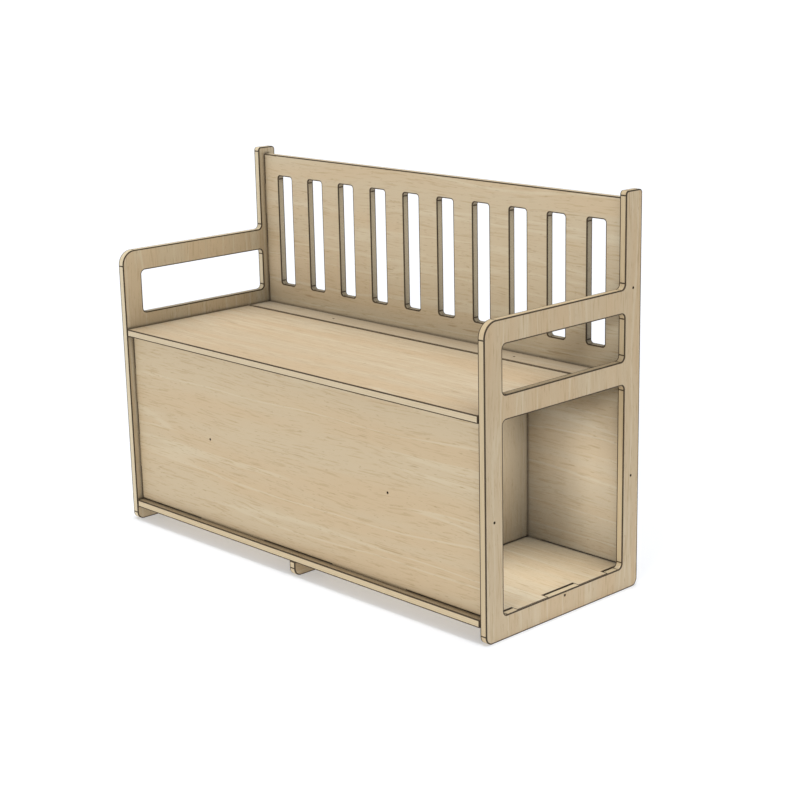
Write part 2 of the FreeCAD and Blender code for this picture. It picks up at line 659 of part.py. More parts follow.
def hinge_pin():
    """A plain wire pin through all the knuckles."""
    pin = doc.addObject("Part::Cylinder", "hinge_pin")
    pin.Label = "hinge_pin"
    pin.setExpression("Radius", "Sizes.pin_diameter / 2")
    pin.setExpression("Height", HINGE_LENGTH)
    pin.Placement.Rotation = FreeCAD.Rotation(Y_AXIS, FULL_TURN / 4)
    place(pin, f"-{HINGE_LENGTH} / 2", HINGE_Y, HINGE_Z)
    nodes.append(pin)
    return pin


def hinge_screws(label, side):
    """Countersunk screws from the gap through a leaf into the edge of its seat board."""
    body = new_body(label, f"-{HINGE_LENGTH} / 2", HINGE_Y, HINGE_Z)
    shank = "Sizes.hinge_screw_shank"
    steps = [
        ("0", "Sizes.hinge_screw_head"), ("Sizes.leaf_thickness", shank),
        (f"Sizes.hinge_screw_length - {shank}", shank),
        ("Sizes.hinge_screw_length", f"{shank} / {TIP_PART}"),
    ]
    sections = hinge_screw_sections(body, side, steps)
    screw = loft(body, "AdditiveLoft", f"{label}_screw", sections)
    repeat(body, screw, HINGE_SCREW_RUN, "Sizes.hinge_screw_count")
    return body


def wood_screw(name, length):
    """One screw along +X with its head's top at the origin. The boards get copies of it."""
    body = doc.addObject("PartDesign::Body", name)
    head = new_sketch(body, f"{name}_head", "YZ_Plane")
    flatted_circle(head, "0", "0", "Sizes.screw_head", SCREW_FLATS)
    pad(body, head, "Sizes.screw_head_height")
    shank = "Sizes.screw_shank"
    steps = [
        ("Sizes.screw_head_height", shank), (f"{length} - Sizes.screw_point", shank),
        (length, f"{shank} / {TIP_PART}"),
    ]
    sections = []
    for number, (depth, diameter) in enumerate(steps, start=1):
        section = new_sketch(body, f"{name}_section_{number}", "YZ_Plane", ("0", "0", depth))
        flatted_circle(section, "0", "0", diameter, SCREW_FLATS)
        sections.append(section)
    loft(body, "AdditiveLoft", f"{name}_shank", sections)
    return body


Z_AXIS = FreeCAD.Vector(0, 0, 1)
SCREW_WAYS = {
    "right": FreeCAD.Rotation(),
    "left": FreeCAD.Rotation(Z_AXIS, FULL_TURN / 2),
    "back": FreeCAD.Rotation(Z_AXIS, FULL_TURN / 4),
    "front": FreeCAD.Rotation(Z_AXIS, -FULL_TURN / 4),
    "up": FreeCAD.Rotation(Y_AXIS, -FULL_TURN / 4),
    "down": FreeCAD.Rotation(Y_AXIS, FULL_TURN / 4),
}


def screw_group(label, screws):
    """The separate screws that hold one board, as one node."""
    copies = []
    for number, (screw, way, spot) in enumerate(screws, start=1):
        copy = doc.addObject("App::Link", f"{label}_{number}")
        copy.LinkedObject = screw
        copy.Placement.Rotation = SCREW_WAYS[way]
        place(copy, *spot)
        copies.append(copy)
    group = doc.addObject("Part::Compound", label)
    group.Label = label
    group.Links = copies
    nodes.append(group)
    return group


SINK = "Sizes.screw_sink"
OUTER = "Sizes.bench_width / 2"


def side_screws(way, x):
    return [(board_screw, way, (x, f"{FRONT_EDGE} + {y}", z)) for y, z in SIDE_SCREWS]


def divider_screws(way, y, z):
    return [(board_screw, way, (f"{side} * {DIVIDER_X}", y, z)) for side in (-1, 1)]


side_panel("left_side_panel", f"-{OUTER}", is_left=True)
side_panel("right_side_panel", f"{OUTER} - Sizes.board", is_left=False)
floor_panel()
bin_panel("front_panel", f"{FRONT_EDGE} + Sizes.front_setback", faces_back=False)
bin_panel("lower_back_panel", "Sizes.bench_depth / 2 - Sizes.back_setback", faces_back=True)
upper_back_panel()
divider("left_divider", -1)
divider("right_divider", 1)
center_foot()
seat_rail()
seat_lid()
hinge_leaf("hinge_lid_leaf", -1, 1, LID_KNUCKLES)
hinge_leaf("hinge_rail_leaf", 1, 0, f"({LID_KNUCKLES} + 1)")
hinge_pin()
hinge_screws("hinge_lid_screws", -1)
hinge_screws("hinge_rail_screws", 1)
board_screw = wood_screw("board_screw", "Sizes.screw_length")
foot_screw = wood_screw("foot_screw", FOOT_SCREW_LENGTH)
screw_group("left_side_screws", side_screws("right", f"-{OUTER} + {SINK}"))
screw_group("right_side_screws", side_screws("left", f"{OUTER} - {SINK}"))
screw_group("front_panel_screws",
            divider_screws("back", f"{FRONT_EDGE} + Sizes.front_setback + {SINK}", BIN_MIDDLE))
screw_group("lower_back_screws",
            divider_screws("front", f"Sizes.bench_depth / 2 - Sizes.back_setback - {SINK}", BIN_MIDDLE))
screw_group("seat_rail_screws",
            divider_screws("down", f"{HINGE_Y} + {RAIL_SCREW_INSET}", f"Sizes.seat_height - {SINK}"))
from_above = (foot_screw, "down", ("0", "0", f"{FLOOR_TOP} - {SINK}"))
screw_group("floor_screws", divider_screws("up", "0", f"Sizes.floor_lift + {SINK}") + [from_above])
doc.recompute()

for item in doc.Objects:
    if "Invalid" in item.State or "Error" in item.State:
        raise ValueError(f"{item.Label} did not compute: {item.State}")
for node in nodes:
    if node.Shape.isNull() or not node.Shape.isValid():
        raise ValueError(f"{node.Label} has no valid shape")

os.makedirs("parts", exist_ok=True)
for node in nodes:
    node.Shape.exportStep(f"parts/{node.Label}.step")
    print(node.Label, len(node.Shape.Solids), round(node.Shape.Volume, 1))
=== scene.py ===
# %% [markdown]
# # A toddler bench in birch plywood
#
# The bench is cut from half-inch plywood: two side boards with an arm and two windows, a slotted back, a
# front, a floor, two dividers, and a seat whose front part lifts up as a lid. Its solids come from the
# imported model, so this lesson is about the looks: how the cut edges are browned, how the wood is coloured,
# and how a plain studio shows it.
#
# The imported model comes first, because every piece is placed by it.

# %% Load the imported bench
import json
import math

import bmesh
import bpy
from mathutils import Matrix, Vector

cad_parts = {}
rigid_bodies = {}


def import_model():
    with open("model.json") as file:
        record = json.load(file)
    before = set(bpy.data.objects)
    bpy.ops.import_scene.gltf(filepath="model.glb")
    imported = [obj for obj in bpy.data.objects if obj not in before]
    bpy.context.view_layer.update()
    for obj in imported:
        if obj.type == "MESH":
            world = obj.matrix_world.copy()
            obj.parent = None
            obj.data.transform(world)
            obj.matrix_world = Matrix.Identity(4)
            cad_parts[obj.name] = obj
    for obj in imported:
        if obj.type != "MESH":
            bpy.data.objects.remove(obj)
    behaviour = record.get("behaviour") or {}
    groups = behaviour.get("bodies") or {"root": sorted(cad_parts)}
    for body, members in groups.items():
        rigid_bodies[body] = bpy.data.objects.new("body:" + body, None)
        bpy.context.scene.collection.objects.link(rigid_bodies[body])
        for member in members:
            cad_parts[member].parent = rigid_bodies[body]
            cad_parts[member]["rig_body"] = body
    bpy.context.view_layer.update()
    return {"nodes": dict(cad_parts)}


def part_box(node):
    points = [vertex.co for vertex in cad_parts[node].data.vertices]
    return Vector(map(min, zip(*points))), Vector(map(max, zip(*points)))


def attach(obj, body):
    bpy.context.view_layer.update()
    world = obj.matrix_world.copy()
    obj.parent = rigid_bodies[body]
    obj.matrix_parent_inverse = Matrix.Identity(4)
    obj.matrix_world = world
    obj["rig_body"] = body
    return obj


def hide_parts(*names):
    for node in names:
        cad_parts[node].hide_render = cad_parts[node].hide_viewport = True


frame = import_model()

MM = 0.001
AXES = "XYZ"

# %% [markdown]
# ## Boards with scorched edges
#
# The photograph shows a thin dark line along every edge of the boards. Here it is the trace of a hot
# cutter, which browns a narrow band on both sides of an outline, and a light sanding takes the sharp arris
# off.
#
# A Bevel modifier on the whole solid would also widen the screw holes and the pockets that hold the tabs,
# which are finer than the band. So each board is a copy of its solid whose outlines alone are bevelled in
# mesh code: edges between a broad face and a wall that runs through the whole thickness, and the corners
# where two such walls meet. A nearly square profile keeps the board's shape, and the faces of the bevel
# get the second material, the scorched one. An edge or a tab that goes into another board stays square,
# because the joint hides it.

# %% Sizes of the scorched band, and where boards meet
BAND = 1.9 * MM
BAND_STEPS = 4
BAND_PROFILE = 0.85
SCORCHED_EDGE = 1

INNER_HALF, BIN_FRONT, BIN_BACK = 431.8 * MM, -152.4 * MM, 152.4 * MM
FLOOR_TOP, SEAT_BASE, SEAT_TOP = 38.1 * MM, 342.9 * MM, 355.6 * MM
JOINT_GAP = 2.5 * MM
# planes of the boards that a solid goes into: axis, direction along it, and level
SIDES = [("X", -1, -INNER_HALF), ("X", 1, INNER_HALF)]
BIN_WALLS = [("Y", -1, BIN_FRONT), ("Y", 1, BIN_BACK), ("Z", -1, FLOOR_TOP), ("Z", 1, SEAT_BASE)]
JOINTS = {
    "front_panel": [*SIDES, ("Z", -1, FLOOR_TOP)],
    "lower_back_panel": [*SIDES, ("Z", -1, FLOOR_TOP)],
    "upper_back_panel": [*SIDES, ("Z", -1, SEAT_TOP)],
    "seat_rail": SIDES,
    "left_divider": BIN_WALLS,
    "right_divider": BIN_WALLS,
}
print("band of", BAND / MM, "mm, and", len(JOINTS), "boards with edges in joints")

# %% Find the outlines of a board
SAME_POINT, SAME_LEVEL = 0.01 * MM, 0.05 * MM
SHORTEST_EDGE, LONG_EDGE = 0.3 * MM, 200 * MM
SHARP_ANGLE = math.radians(40)


def spans(verts, axis, low, high):
    """Whether these corners reach from one broad face to the other."""
    levels = [vert.co[axis] for vert in verts]
    return min(levels) - low < SAME_LEVEL and high - max(levels) < SAME_LEVEL


def in_joint(edge, joints):
    """Whether an edge lies at or past the plane of a board that this one goes into."""
    def past(vert, axis_name, way, level):
        return (vert.co[AXES.index(axis_name)] - level) * way > -JOINT_GAP

    return any(all(past(vert, *joint) for vert in edge.verts) for joint in joints)


def outline_edges(bm, axis, low, high, joints):
    """The edges that the cutter made: round each broad face, and where two full walls meet."""
    def on_face(vert):
        return min(vert.co[axis] - low, high - vert.co[axis]) < SAME_LEVEL

    found = []
    for edge in bm.edges:
        if not edge.is_manifold or not edge.is_convex or edge.calc_length() < SHORTEST_EDGE:
            continue
        if edge.calc_face_angle() < SHARP_ANGLE or in_joint(edge, joints):
            continue
        walls = [face for face in edge.link_faces if spans(face.verts, axis, low, high)]
        outer = walls or edge.calc_length() > LONG_EDGE
        if spans(edge.verts, axis, low, high) or (outer and all(map(on_face, edge.verts))):
            found.append(edge)
    return found


print("an outline edge turns by", round(math.degrees(SHARP_ANGLE)), "degrees or more")

# %% [markdown]
# A cutter slows down where a straight run turns into a rounded corner, and burns a short mark across the
# edge there. A plane cuts the wall beside the corner, and the narrow strip gets the scorched material too.
# The small rounding along the hinge is treated the same way. A drill burns as well, so the walls of the
# screw holes are scorched, which makes the sunk screws show as dark dots.

# %% Scorch the turns and the holes
MARK = 2.2 * MM
SHORT_WALL, LONG_WALL = 7 * MM, 9 * MM
ROUNDING = 0.5 * MM
TURN_ANGLE = math.radians(2)
HOLE_FACET, HOLE_DEPTH = 1.5 * MM, 12 * MM
SQUARE_OFF = 0.01


def width_from(edge, face):
    """How far a face reaches from one of its edges."""
    start = edge.verts[0].co
    along = (edge.verts[1].co - start).normalized()
    return max((vert.co - start - along * along.dot(vert.co - start)).length for vert in face.verts)


def mark_turns(bm, axis, low, high):
    """Cut a strip beside each rounded corner and scorch it. Gives the number of strips."""
    turns = [edge for edge in bm.edges if edge.is_manifold
             and TURN_ANGLE < edge.calc_face_angle() < SHARP_ANGLE
             and (spans(edge.verts, axis, low, high) or edge.calc_length() > LONG_EDGE)]
    count = 0
    for edge in turns:
        narrow, wide = sorted(edge.link_faces, key=lambda face: width_from(edge, face))
        if width_from(edge, narrow) < ROUNDING:
            narrow.material_index = SCORCHED_EDGE
        if width_from(edge, narrow) > SHORT_WALL or width_from(edge, wide) < LONG_WALL:
            continue
        along = (edge.verts[1].co - edge.verts[0].co).normalized()
        across = wide.normal.cross(along)
        middle = (edge.verts[0].co + edge.verts[1].co) / 2
        if across.dot(wide.calc_center_median() - middle) < 0:
            across = -across
        bmesh.ops.bisect_plane(bm, geom=[wide, *wide.edges, *wide.verts], dist=SAME_POINT,
                               plane_co=middle + MARK * across, plane_no=across)
        strip = max(edge.link_faces, key=lambda face: across.dot(face.calc_center_median() - middle))
        strip.material_index = SCORCHED_EDGE
        count += 1
    return count


def scorch_holes(bm, axis, low, high):
    """Scorch the narrow facets of the drilled holes. Gives the number of facets."""
    def is_facet(face):
        lengths = [edge.calc_length() for edge in face.edges]
        return (abs(face.normal[axis]) < SQUARE_OFF and not spans(face.verts, axis, low, high)
                and max(lengths) < HOLE_DEPTH and min(lengths) < HOLE_FACET)

    facets = list(filter(is_facet, bm.faces))
    for face in facets:
        face.material_index = SCORCHED_EDGE
    return len(facets)


print("a mark is", MARK / MM, "mm long")

# %% [markdown]
# Each board has a face grain and a thickness direction, which its wood needs to know. The sides and
# dividers are cut with the grain upright, and the rest with the grain along the bench.
#
# A board starts from its solid: the facets of the flat faces are joined first, so that an outline is one
# edge, and the flat faces keep flat shading, so that only the bands and the rounds are smooth.

# %% Make the boards
# solid, board, direction of the face grain, direction of the thickness
BOARDS = [
    ("left_side_panel", "left_side_board", "Z", "X"),
    ("right_side_panel", "right_side_board", "Z", "X"),
    ("left_divider", "left_divider_board", "Z", "X"),
    ("right_divider", "right_divider_board", "Z", "X"),
    ("front_panel", "front_board", "X", "Y"),
    ("lower_back_panel", "lower_back_board", "X", "Y"),
    ("upper_back_panel", "slotted_back_board", "X", "Y"),
    ("floor_panel", "floor_board", "X", "Z"),
    ("seat_rail", "seat_rail_board", "X", "Z"),
    ("seat_lid", "seat_lid_board", "X", "Z"),
    ("center_foot", "foot_board", "Y", "X"),
]
FLAT_ANGLE, SMOOTH_ANGLE = math.radians(1), math.radians(30)
SQUARE_ON = 0.9999


def ease_board(node_name, board_name, through):
    """A copy of a solid board with scorched outlines, riding where the solid rides."""
    node = frame["nodes"][node_name]
    axis = AXES.index(through)
    low, high = (corner[axis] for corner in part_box(node_name))
    bm = bmesh.new()
    bm.from_mesh(node.data)
    bmesh.ops.remove_doubles(bm, verts=bm.verts, dist=SAME_POINT)
    bmesh.ops.dissolve_limit(bm, angle_limit=FLAT_ANGLE, verts=bm.verts, edges=bm.edges)
    marks = mark_turns(bm, axis, low, high)
    facets = scorch_holes(bm, axis, low, high)
    outlines = outline_edges(bm, axis, low, high, JOINTS.get(node_name, []))
    bmesh.ops.bevel(bm, geom=outlines, offset=BAND, segments=BAND_STEPS, profile=BAND_PROFILE,
                    affect="EDGES", material=SCORCHED_EDGE, loop_slide=False, clamp_overlap=False)
    mesh = bpy.data.meshes.new(board_name)
    bm.to_mesh(mesh)
    bm.free()
    mesh.shade_smooth()
    mesh.set_sharp_from_angle(angle=SMOOTH_ANGLE)
    for face in mesh.polygons:
        face.use_smooth = max(abs(part) for part in face.normal) < SQUARE_ON
    board = bpy.data.objects.new(board_name, mesh)
    bpy.context.scene.collection.objects.link(board)
    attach(board, node["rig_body"])
    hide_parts(node_name)
    print(board_name, len(outlines), "outline edges,", marks, "marks,", facets, "hole facets,",
          len(mesh.polygons), "faces")
    return board


boards = {solid: ease_board(solid, name, through) for solid, name, _, through in BOARDS}

# %% [markdown]
# ## Colour and nodes
#
# A shader works with linear light, while colours are usually written as sRGB hex values, so one function
# turns one into the other. A second one adds a node with its settings and links, which keeps the materials
# short enough to read as a recipe.

# %% Helpers for materials
# sockets of a Mix node that blends colours: how much, the first colour, the second colour
MIX_BY, MIX_FROM, MIX_TO = 0, 6, 7


def linear(hex_colour):
    """The linear colour of an sRGB hex value."""
    parts = [int(hex_colour[start:start + 2], 16) / 255 for start in (1, 3, 5)]
    return (*[part / 12.92 if part <= 0.04045 else ((part + 0.055) / 1.055) ** 2.4 for part in parts], 1.0)


def add(tree, kind, inputs=None, **settings):
    """Add a node, set its properties, and link or set its inputs. A node as an input gives its result."""
    node = tree.nodes.new(f"ShaderNode{kind}")
    for name, setting in settings.items():
        setattr(node, name, setting)
    for socket, given in (inputs or {}).items():
        if isinstance(given, bpy.types.Node):
            given = next(output for output in given.outputs if output.enabled)
        if isinstance(given, bpy.types.NodeSocket):
            tree.links.new(given, node.inputs[socket])
        else:
            node.inputs[socket].default_value = given
    return node


def new_material(name):
    """A material with an empty tree, and that tree."""
    material = bpy.data.materials.new(name)
    material.use_nodes = True
    material.node_tree.nodes.clear()
    return material, material.node_tree


print("linear of #808080:", round(linear("#808080")[0], 4))

# %% [markdown]
# ## Birch plywood, sanded and clear sealed
#
# Birch has a quiet figure that runs along the grain. Image textures would stretch round the edges of a
# board, so the figure is made of solid noise in the board's own coordinates, stretched along the grain.
# Each board takes its noise from another place, as if cut from another part of the sheet, and its grain
# sways a little.
#
# Sizes are in millimetres: a band is some 45 mm wide and a streak about 5 mm. Real fibres and pores are
# about 0.2 mm wide and would vanish at this distance, so they are drawn some ten times coarser.

# %% The grain
# noise: length along the grain and width across it in mm, and detail
NOISES = {
    "sway": (420, 130, 1.0),
    "bands": (700, 45, 2.0),
    "streaks": (1100, 40, 1.0),
    "fibres": (45, 2.6, 3.0),
    "pores": (14, 2.0, 1.0),
    "flecks": (90, 6, 1.0),
}
NOISE_MIDDLE = 0.5
SHEET_STEP = (1.7, 0.9, 1.3)
SWAY = 30 * MM


def figure(tree, where, grain, noise_name):
    """Noise stretched along the grain."""
    along, across, detail = NOISES[noise_name]
    scale = [1 / ((along if axis == grain else across) * MM) for axis in AXES]
    scaled = add(tree, "Mapping", {"Vector": where, "Scale": scale})
    return add(tree, "TexNoise", {"Vector": scaled, "Scale": 1.0, "Detail": detail})


def swaying_grain(tree, grain, seed):
    """Coordinates of a board at its own place on the sheet, with a grain that sways."""
    place = add(tree, "TexCoord").outputs["Object"]
    sheet = add(tree, "VectorMath", {0: place, 1: [seed * step for step in SHEET_STEP]}, operation="ADD")
    sway = figure(tree, sheet, grain, "sway").outputs["Color"]
    level = add(tree, "VectorMath", {0: sway, 1: [NOISE_MIDDLE] * 3}, operation="SUBTRACT")
    reach = [0.0 if axis == grain else SWAY for axis in AXES]
    return add(tree, "VectorMath", {0: level, 1: reach, 2: sheet}, operation="MULTIPLY_ADD")


print(len(NOISES), "noises, the finest", NOISES["pores"][1], "mm wide")

# %% [markdown]
# The veneer is pale and warm. Broad bands of it lean to tan or to a cooler straw colour, a few long pale
# streaks run through it, and short brown dashes, pores and flecks lie along the grain. Each of them is a
# mask with a soft step, and a colour that is laid over the wood where the mask is 1.

# %% The veneer
VENEER_TAN, VENEER_STRAW = "#CEB691", "#CEBA98"
DASH_BROWN = "#BCA27A"
# figure: its colour, and how much of it is laid over the wood
VENEER_MARKS = {
    "streaks": ("#D7C8A9", 0.55),
    "fibres": (DASH_BROWN, 0.65),
    "pores": ("#A88C63", 0.45),
    "flecks": ("#A4865B", 0.5),
}
# figure: the value where its mask is 0, and the value where it is 1
VENEER_MASKS = {
    "bands": {"From Min": 0.4, "From Max": 0.62},
    "streaks": {"From Min": 0.035, "From Max": 0.005},
    "fibres": {"From Min": 0.52, "From Max": 0.7},
    "pores": {"From Min": 0.66, "From Max": 0.74},
    "flecks": {"From Min": 0.72, "From Max": 0.78},
}
SOFT_STEP = {"interpolation_type": "SMOOTHSTEP"}


def veneer_masks(tree, wavy, grain):
    """The fibres' noise, and a mask of each figure. A streak is where its noise crosses the middle."""
    figures = {name: figure(tree, wavy, grain, name) for name in VENEER_MASKS}
    off_middle = add(tree, "Math", {0: figures["streaks"], 1: NOISE_MIDDLE}, operation="SUBTRACT")
    figures["streaks"] = add(tree, "Math", {0: off_middle}, operation="ABSOLUTE")
    masks = {name: add(tree, "MapRange", {"Value": figures[name], **ends}, **SOFT_STEP)
             for name, ends in VENEER_MASKS.items()}
    return figures["fibres"], masks


def tint(tree, colour, mask, hex_colour, share):
    """Lay a share of a colour over another where the mask is 1."""
    amount = add(tree, "Math", {0: mask, 1: share}, operation="MULTIPLY")
    layers = {MIX_BY: amount, MIX_FROM: colour, MIX_TO: linear(hex_colour)}
    return add(tree, "Mix", layers, data_type="RGBA")


def veneer(tree, masks):
    """The colour of the broad faces."""
    tones = {MIX_BY: masks["bands"], MIX_FROM: linear(VENEER_TAN), MIX_TO: linear(VENEER_STRAW)}
    colour = add(tree, "Mix", tones, data_type="RGBA")
    for name, mark in VENEER_MARKS.items():
        colour = tint(tree, colour, masks[name], *mark)
    return colour


print("veneer with", ", ".join(VENEER_MARKS))

# %% [markdown]
# On the cut edges the plies show as faint stripes, a pale and a darker one in turn. A sine across the
# thickness gives them, so they follow every cut, round or straight.

# %% The plies
PLIES = 7
PLY_PALE = "#D2BF9B"
PLY_STRIPE, PLY_DASH = ("#C6B08A", 0.4), (DASH_BROWN, 0.3)
PLY_MASK = {"From Min": -0.4, "From Max": 0.4}


def plies(tree, solid, axis, masks):
    """The colour of the cut edges."""
    low, high = (corner[axis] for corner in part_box(solid))
    place = add(tree, "TexCoord").outputs["Object"]
    level = add(tree, "SeparateXYZ", {0: place}).outputs[axis]
    depth = add(tree, "Math", {0: level, 1: low}, operation="SUBTRACT")
    phase = add(tree, "Math", {0: depth, 1: math.pi * PLIES / (high - low)}, operation="MULTIPLY")
    wave = add(tree, "Math", {0: phase}, operation="SINE")
    stripes = add(tree, "MapRange", {"Value": wave, **PLY_MASK}, **SOFT_STEP)
    colour = tint(tree, linear(PLY_PALE), stripes, *PLY_STRIPE)
    return tint(tree, colour, masks["fibres"], *PLY_DASH)


print(PLIES, "plies")

# %% [markdown]
# Where boards meet, painted shade darkens the inner corners, and the joint itself is a thin brown line. An
# occlusion node finds both, with a reach of 150 mm for the painted shade and 5 mm for the joints. How dark
# the painted shade on a board gets, and its tone, were matched to the photograph, so some boards have values
# of their own. The tone is painted light and shade too: it makes a board paler or darker, and cooler, to set
# how lit it looks.

# %% Painted shade in the corners, painted light in the tones, and joint lines
CORNER_REACH, JOINT_REACH = 150 * MM, 5 * MM
REACH_SAMPLES = 4
JOINT_MASK = {"From Min": 0.85, "From Max": 0.65}
JOINT_LINE = ("#3A2D1B", 0.85)
# painted shade: how strongly the occlusion node darkens broad faces and cut edges near other boards
FACE_PAINTED_SHADE, EDGE_PAINTED_SHADE = 0.65, 0.3
OTHER_FACE_PAINTED_SHADE = {"front_panel": 0.08, "seat_lid": 0.9, "upper_back_panel": 0.5, "left_side_panel": 0.5}
OTHER_EDGE_PAINTED_SHADE = {"upper_back_panel": 1.5}
# board: how much red, green and blue it gives back beside the plain veneer. This is painted light and shade:
# it makes a board paler or darker, and cooler, to set how lit it looks
PAINTED_LIGHT_TONES = {
    "left_side_panel": (1.1, 1.16, 1.25),
    "right_side_panel": (0.935, 0.915, 0.895),
    "upper_back_panel": (1.04, 1.08, 1.145),
    "lower_back_panel": (0.95, 1.01, 1.12),
    "front_panel": (0.965, 0.965, 0.965),
    "seat_lid": (1.0, 1.015, 1.075),
    "seat_rail": (0.92, 0.95, 1.04),
    "left_divider": (1.11, 1.15, 1.22),
    "right_divider": (1.11, 1.15, 1.22),
}
NO_PAINTED_LIGHT = (1.0, 1.0, 1.0)


def with_painted_shade(tree, solid, wood, is_face):
    """The wood of a board in a tone of painted light, with painted shade in the inner corners and brown
    joints.
    """
    amounts = {"To Min": OTHER_EDGE_PAINTED_SHADE.get(solid, EDGE_PAINTED_SHADE),
               "To Max": OTHER_FACE_PAINTED_SHADE.get(solid, FACE_PAINTED_SHADE)}
    amount = add(tree, "MapRange", {"Value": is_face, **amounts})
    open_near = add(tree, "AmbientOcclusion", {"Distance": CORNER_REACH}, samples=REACH_SAMPLES)
    # painted shade: the wood darkens where other boards are within reach
    painted_shade = add(tree, "Math", {0: open_near.outputs["AO"], 1: amount}, operation="POWER")
    # painted light and shade: the board's tone lightens or darkens it and cools it
    painted_light_wood = add(tree, "VectorMath", {0: wood, 1: PAINTED_LIGHT_TONES.get(solid, NO_PAINTED_LIGHT)}, operation="MULTIPLY")
    shaded = add(tree, "VectorMath", {0: painted_light_wood, "Scale": painted_shade}, operation="SCALE")
    open_close = add(tree, "AmbientOcclusion", {"Distance": JOINT_REACH}, samples=REACH_SAMPLES)
    lines = add(tree, "MapRange", {"Value": open_close.outputs["AO"], **JOINT_MASK}, **SOFT_STEP)
    return tint(tree, shaded, lines, *JOINT_LINE)


print("dusk within", CORNER_REACH / MM, "mm, joints within", JOINT_REACH / MM, "mm")

# %% [markdown]
# The sealer is thin and satin, so the wood keeps a little sheen and no gloss. The sheen follows the
# fibres, and the pores are slightly sunk. All of this comes together in one material per board.

# %% The plywood material
SEALER_IOR = 1.5
SATIN = {"From Min": 0.3, "From Max": 0.7, "To Min": 0.48, "To Max": 0.62}
FIBRE_RELIEF = 0.5
PORE_DEPTH, PORE_STRENGTH = 0.15 * MM, 0.25
FACE_MASK = {"From Min": 0.75, "From Max": 0.9}


def birch_plywood(name, solid, grain, through, seed):
    """Plywood for one board, by the directions of its face grain and its thickness."""
    material, tree = new_material(name)
    axis = AXES.index(through)
    fibres, masks = veneer_masks(tree, swaying_grain(tree, grain, seed), grain)

    # veneer on the broad faces, plies on the walls
    normal = add(tree, "TexCoord").outputs["Normal"]
    facing = add(tree, "SeparateXYZ", {0: normal}).outputs[axis]
    squareness = add(tree, "Math", {0: facing}, operation="ABSOLUTE")
    is_face = add(tree, "MapRange", {"Value": squareness, **FACE_MASK}, **SOFT_STEP)
    woods = {MIX_BY: is_face, MIX_FROM: plies(tree, solid, axis, masks), MIX_TO: veneer(tree, masks)}
    wood = add(tree, "Mix", woods, data_type="RGBA")

    # the sealer
    raised = add(tree, "Math", {0: fibres, 1: FIBRE_RELIEF}, operation="MULTIPLY")
    relief = add(tree, "Math", {0: raised, 1: masks["pores"]}, operation="SUBTRACT")
    shader = add(tree, "BsdfPrincipled", {
        "Base Color": with_painted_shade(tree, solid, wood, is_face),
        "Roughness": add(tree, "MapRange", {"Value": fibres, **SATIN}),
        "Normal": add(tree, "Bump", {"Strength": PORE_STRENGTH, "Distance": PORE_DEPTH, "Height": relief}),
        "IOR": SEALER_IOR})
    add(tree, "OutputMaterial", {"Surface": shader})
    return material


for seed, (solid, name, grain, through) in enumerate(BOARDS, start=1):
    plywood = birch_plywood(f"birch_plywood_{name}", solid, grain, through, seed)
    boards[solid].data.materials.append(plywood)
print(len(BOARDS), "boards with", len(plywood.node_tree.nodes), "nodes each")

# %% [markdown]
# ## The scorched edge
#
# A cutter's burn is uneven, so its brown wanders along the edge, and the charred fibres are duller than
# the sealed face. It is the second material of every board.

# %% The scorched material
SCORCH_DEEP, SCORCH_LIGHT = "#33281A", "#54432B"
SCORCH_PATCH, SCORCH_DETAIL = 35 * MM, 3.0
SCORCH_ROUGHNESS = 0.75

scorched, tree = new_material("scorched_birch_edge")
place = add(tree, "TexCoord").outputs["Object"]
patches = add(tree, "TexNoise", {"Vector": place, "Scale": 1 / SCORCH_PATCH, "Detail": SCORCH_DETAIL})
browns = {MIX_BY: patches, MIX_FROM: linear(SCORCH_DEEP), MIX_TO: linear(SCORCH_LIGHT)}
brown = add(tree, "Mix", browns, data_type="RGBA")
shader = add(tree, "BsdfPrincipled", {
    "Base Color": brown, "Roughness": SCORCH_ROUGHNESS, "IOR": SEALER_IOR})
add(tree, "OutputMaterial", {"Surface": shader})
for board in boards.values():
    board.data.materials.append(scorched)
print("patches of", SCORCH_PATCH / MM, "mm on the edges of", len(boards), "boards")

# %% [markdown]
# ## Hinge and screws
#
# The lid turns on a long folded strip hinge, bronze plated, whose knuckles lie in the dark line behind the
# seat. The wood screws sit a little below the face of the boards and show as dark dots: their steel has a
# phosphate coat. Both are metals, so they keep the default IOR, and a fine noise breaks up their gloss.

# %% Plated and coated metal
# metal: bright tone, dull tone, roughness, size of the noise in mm
METALS = {
    "bronze_plated_strip": ("#5E4930", "#3F301F", 0.38, 6),
    "phosphate_coated_steel": ("#3C352C", "#2A251F", 0.55, 1.5),
}
METAL_NODES = {
    "bronze_plated_strip": ["hinge_lid_leaf", "hinge_rail_leaf", "hinge_pin"],
    "phosphate_coated_steel": [name for name in frame["nodes"] if name.endswith("_screws")],
}
METAL_DETAIL = 4.0
SMOOTHER, ROUGHER = 0.1, 0.15
METAL_RELIEF, METAL_STRENGTH = 0.05 * MM, 0.2

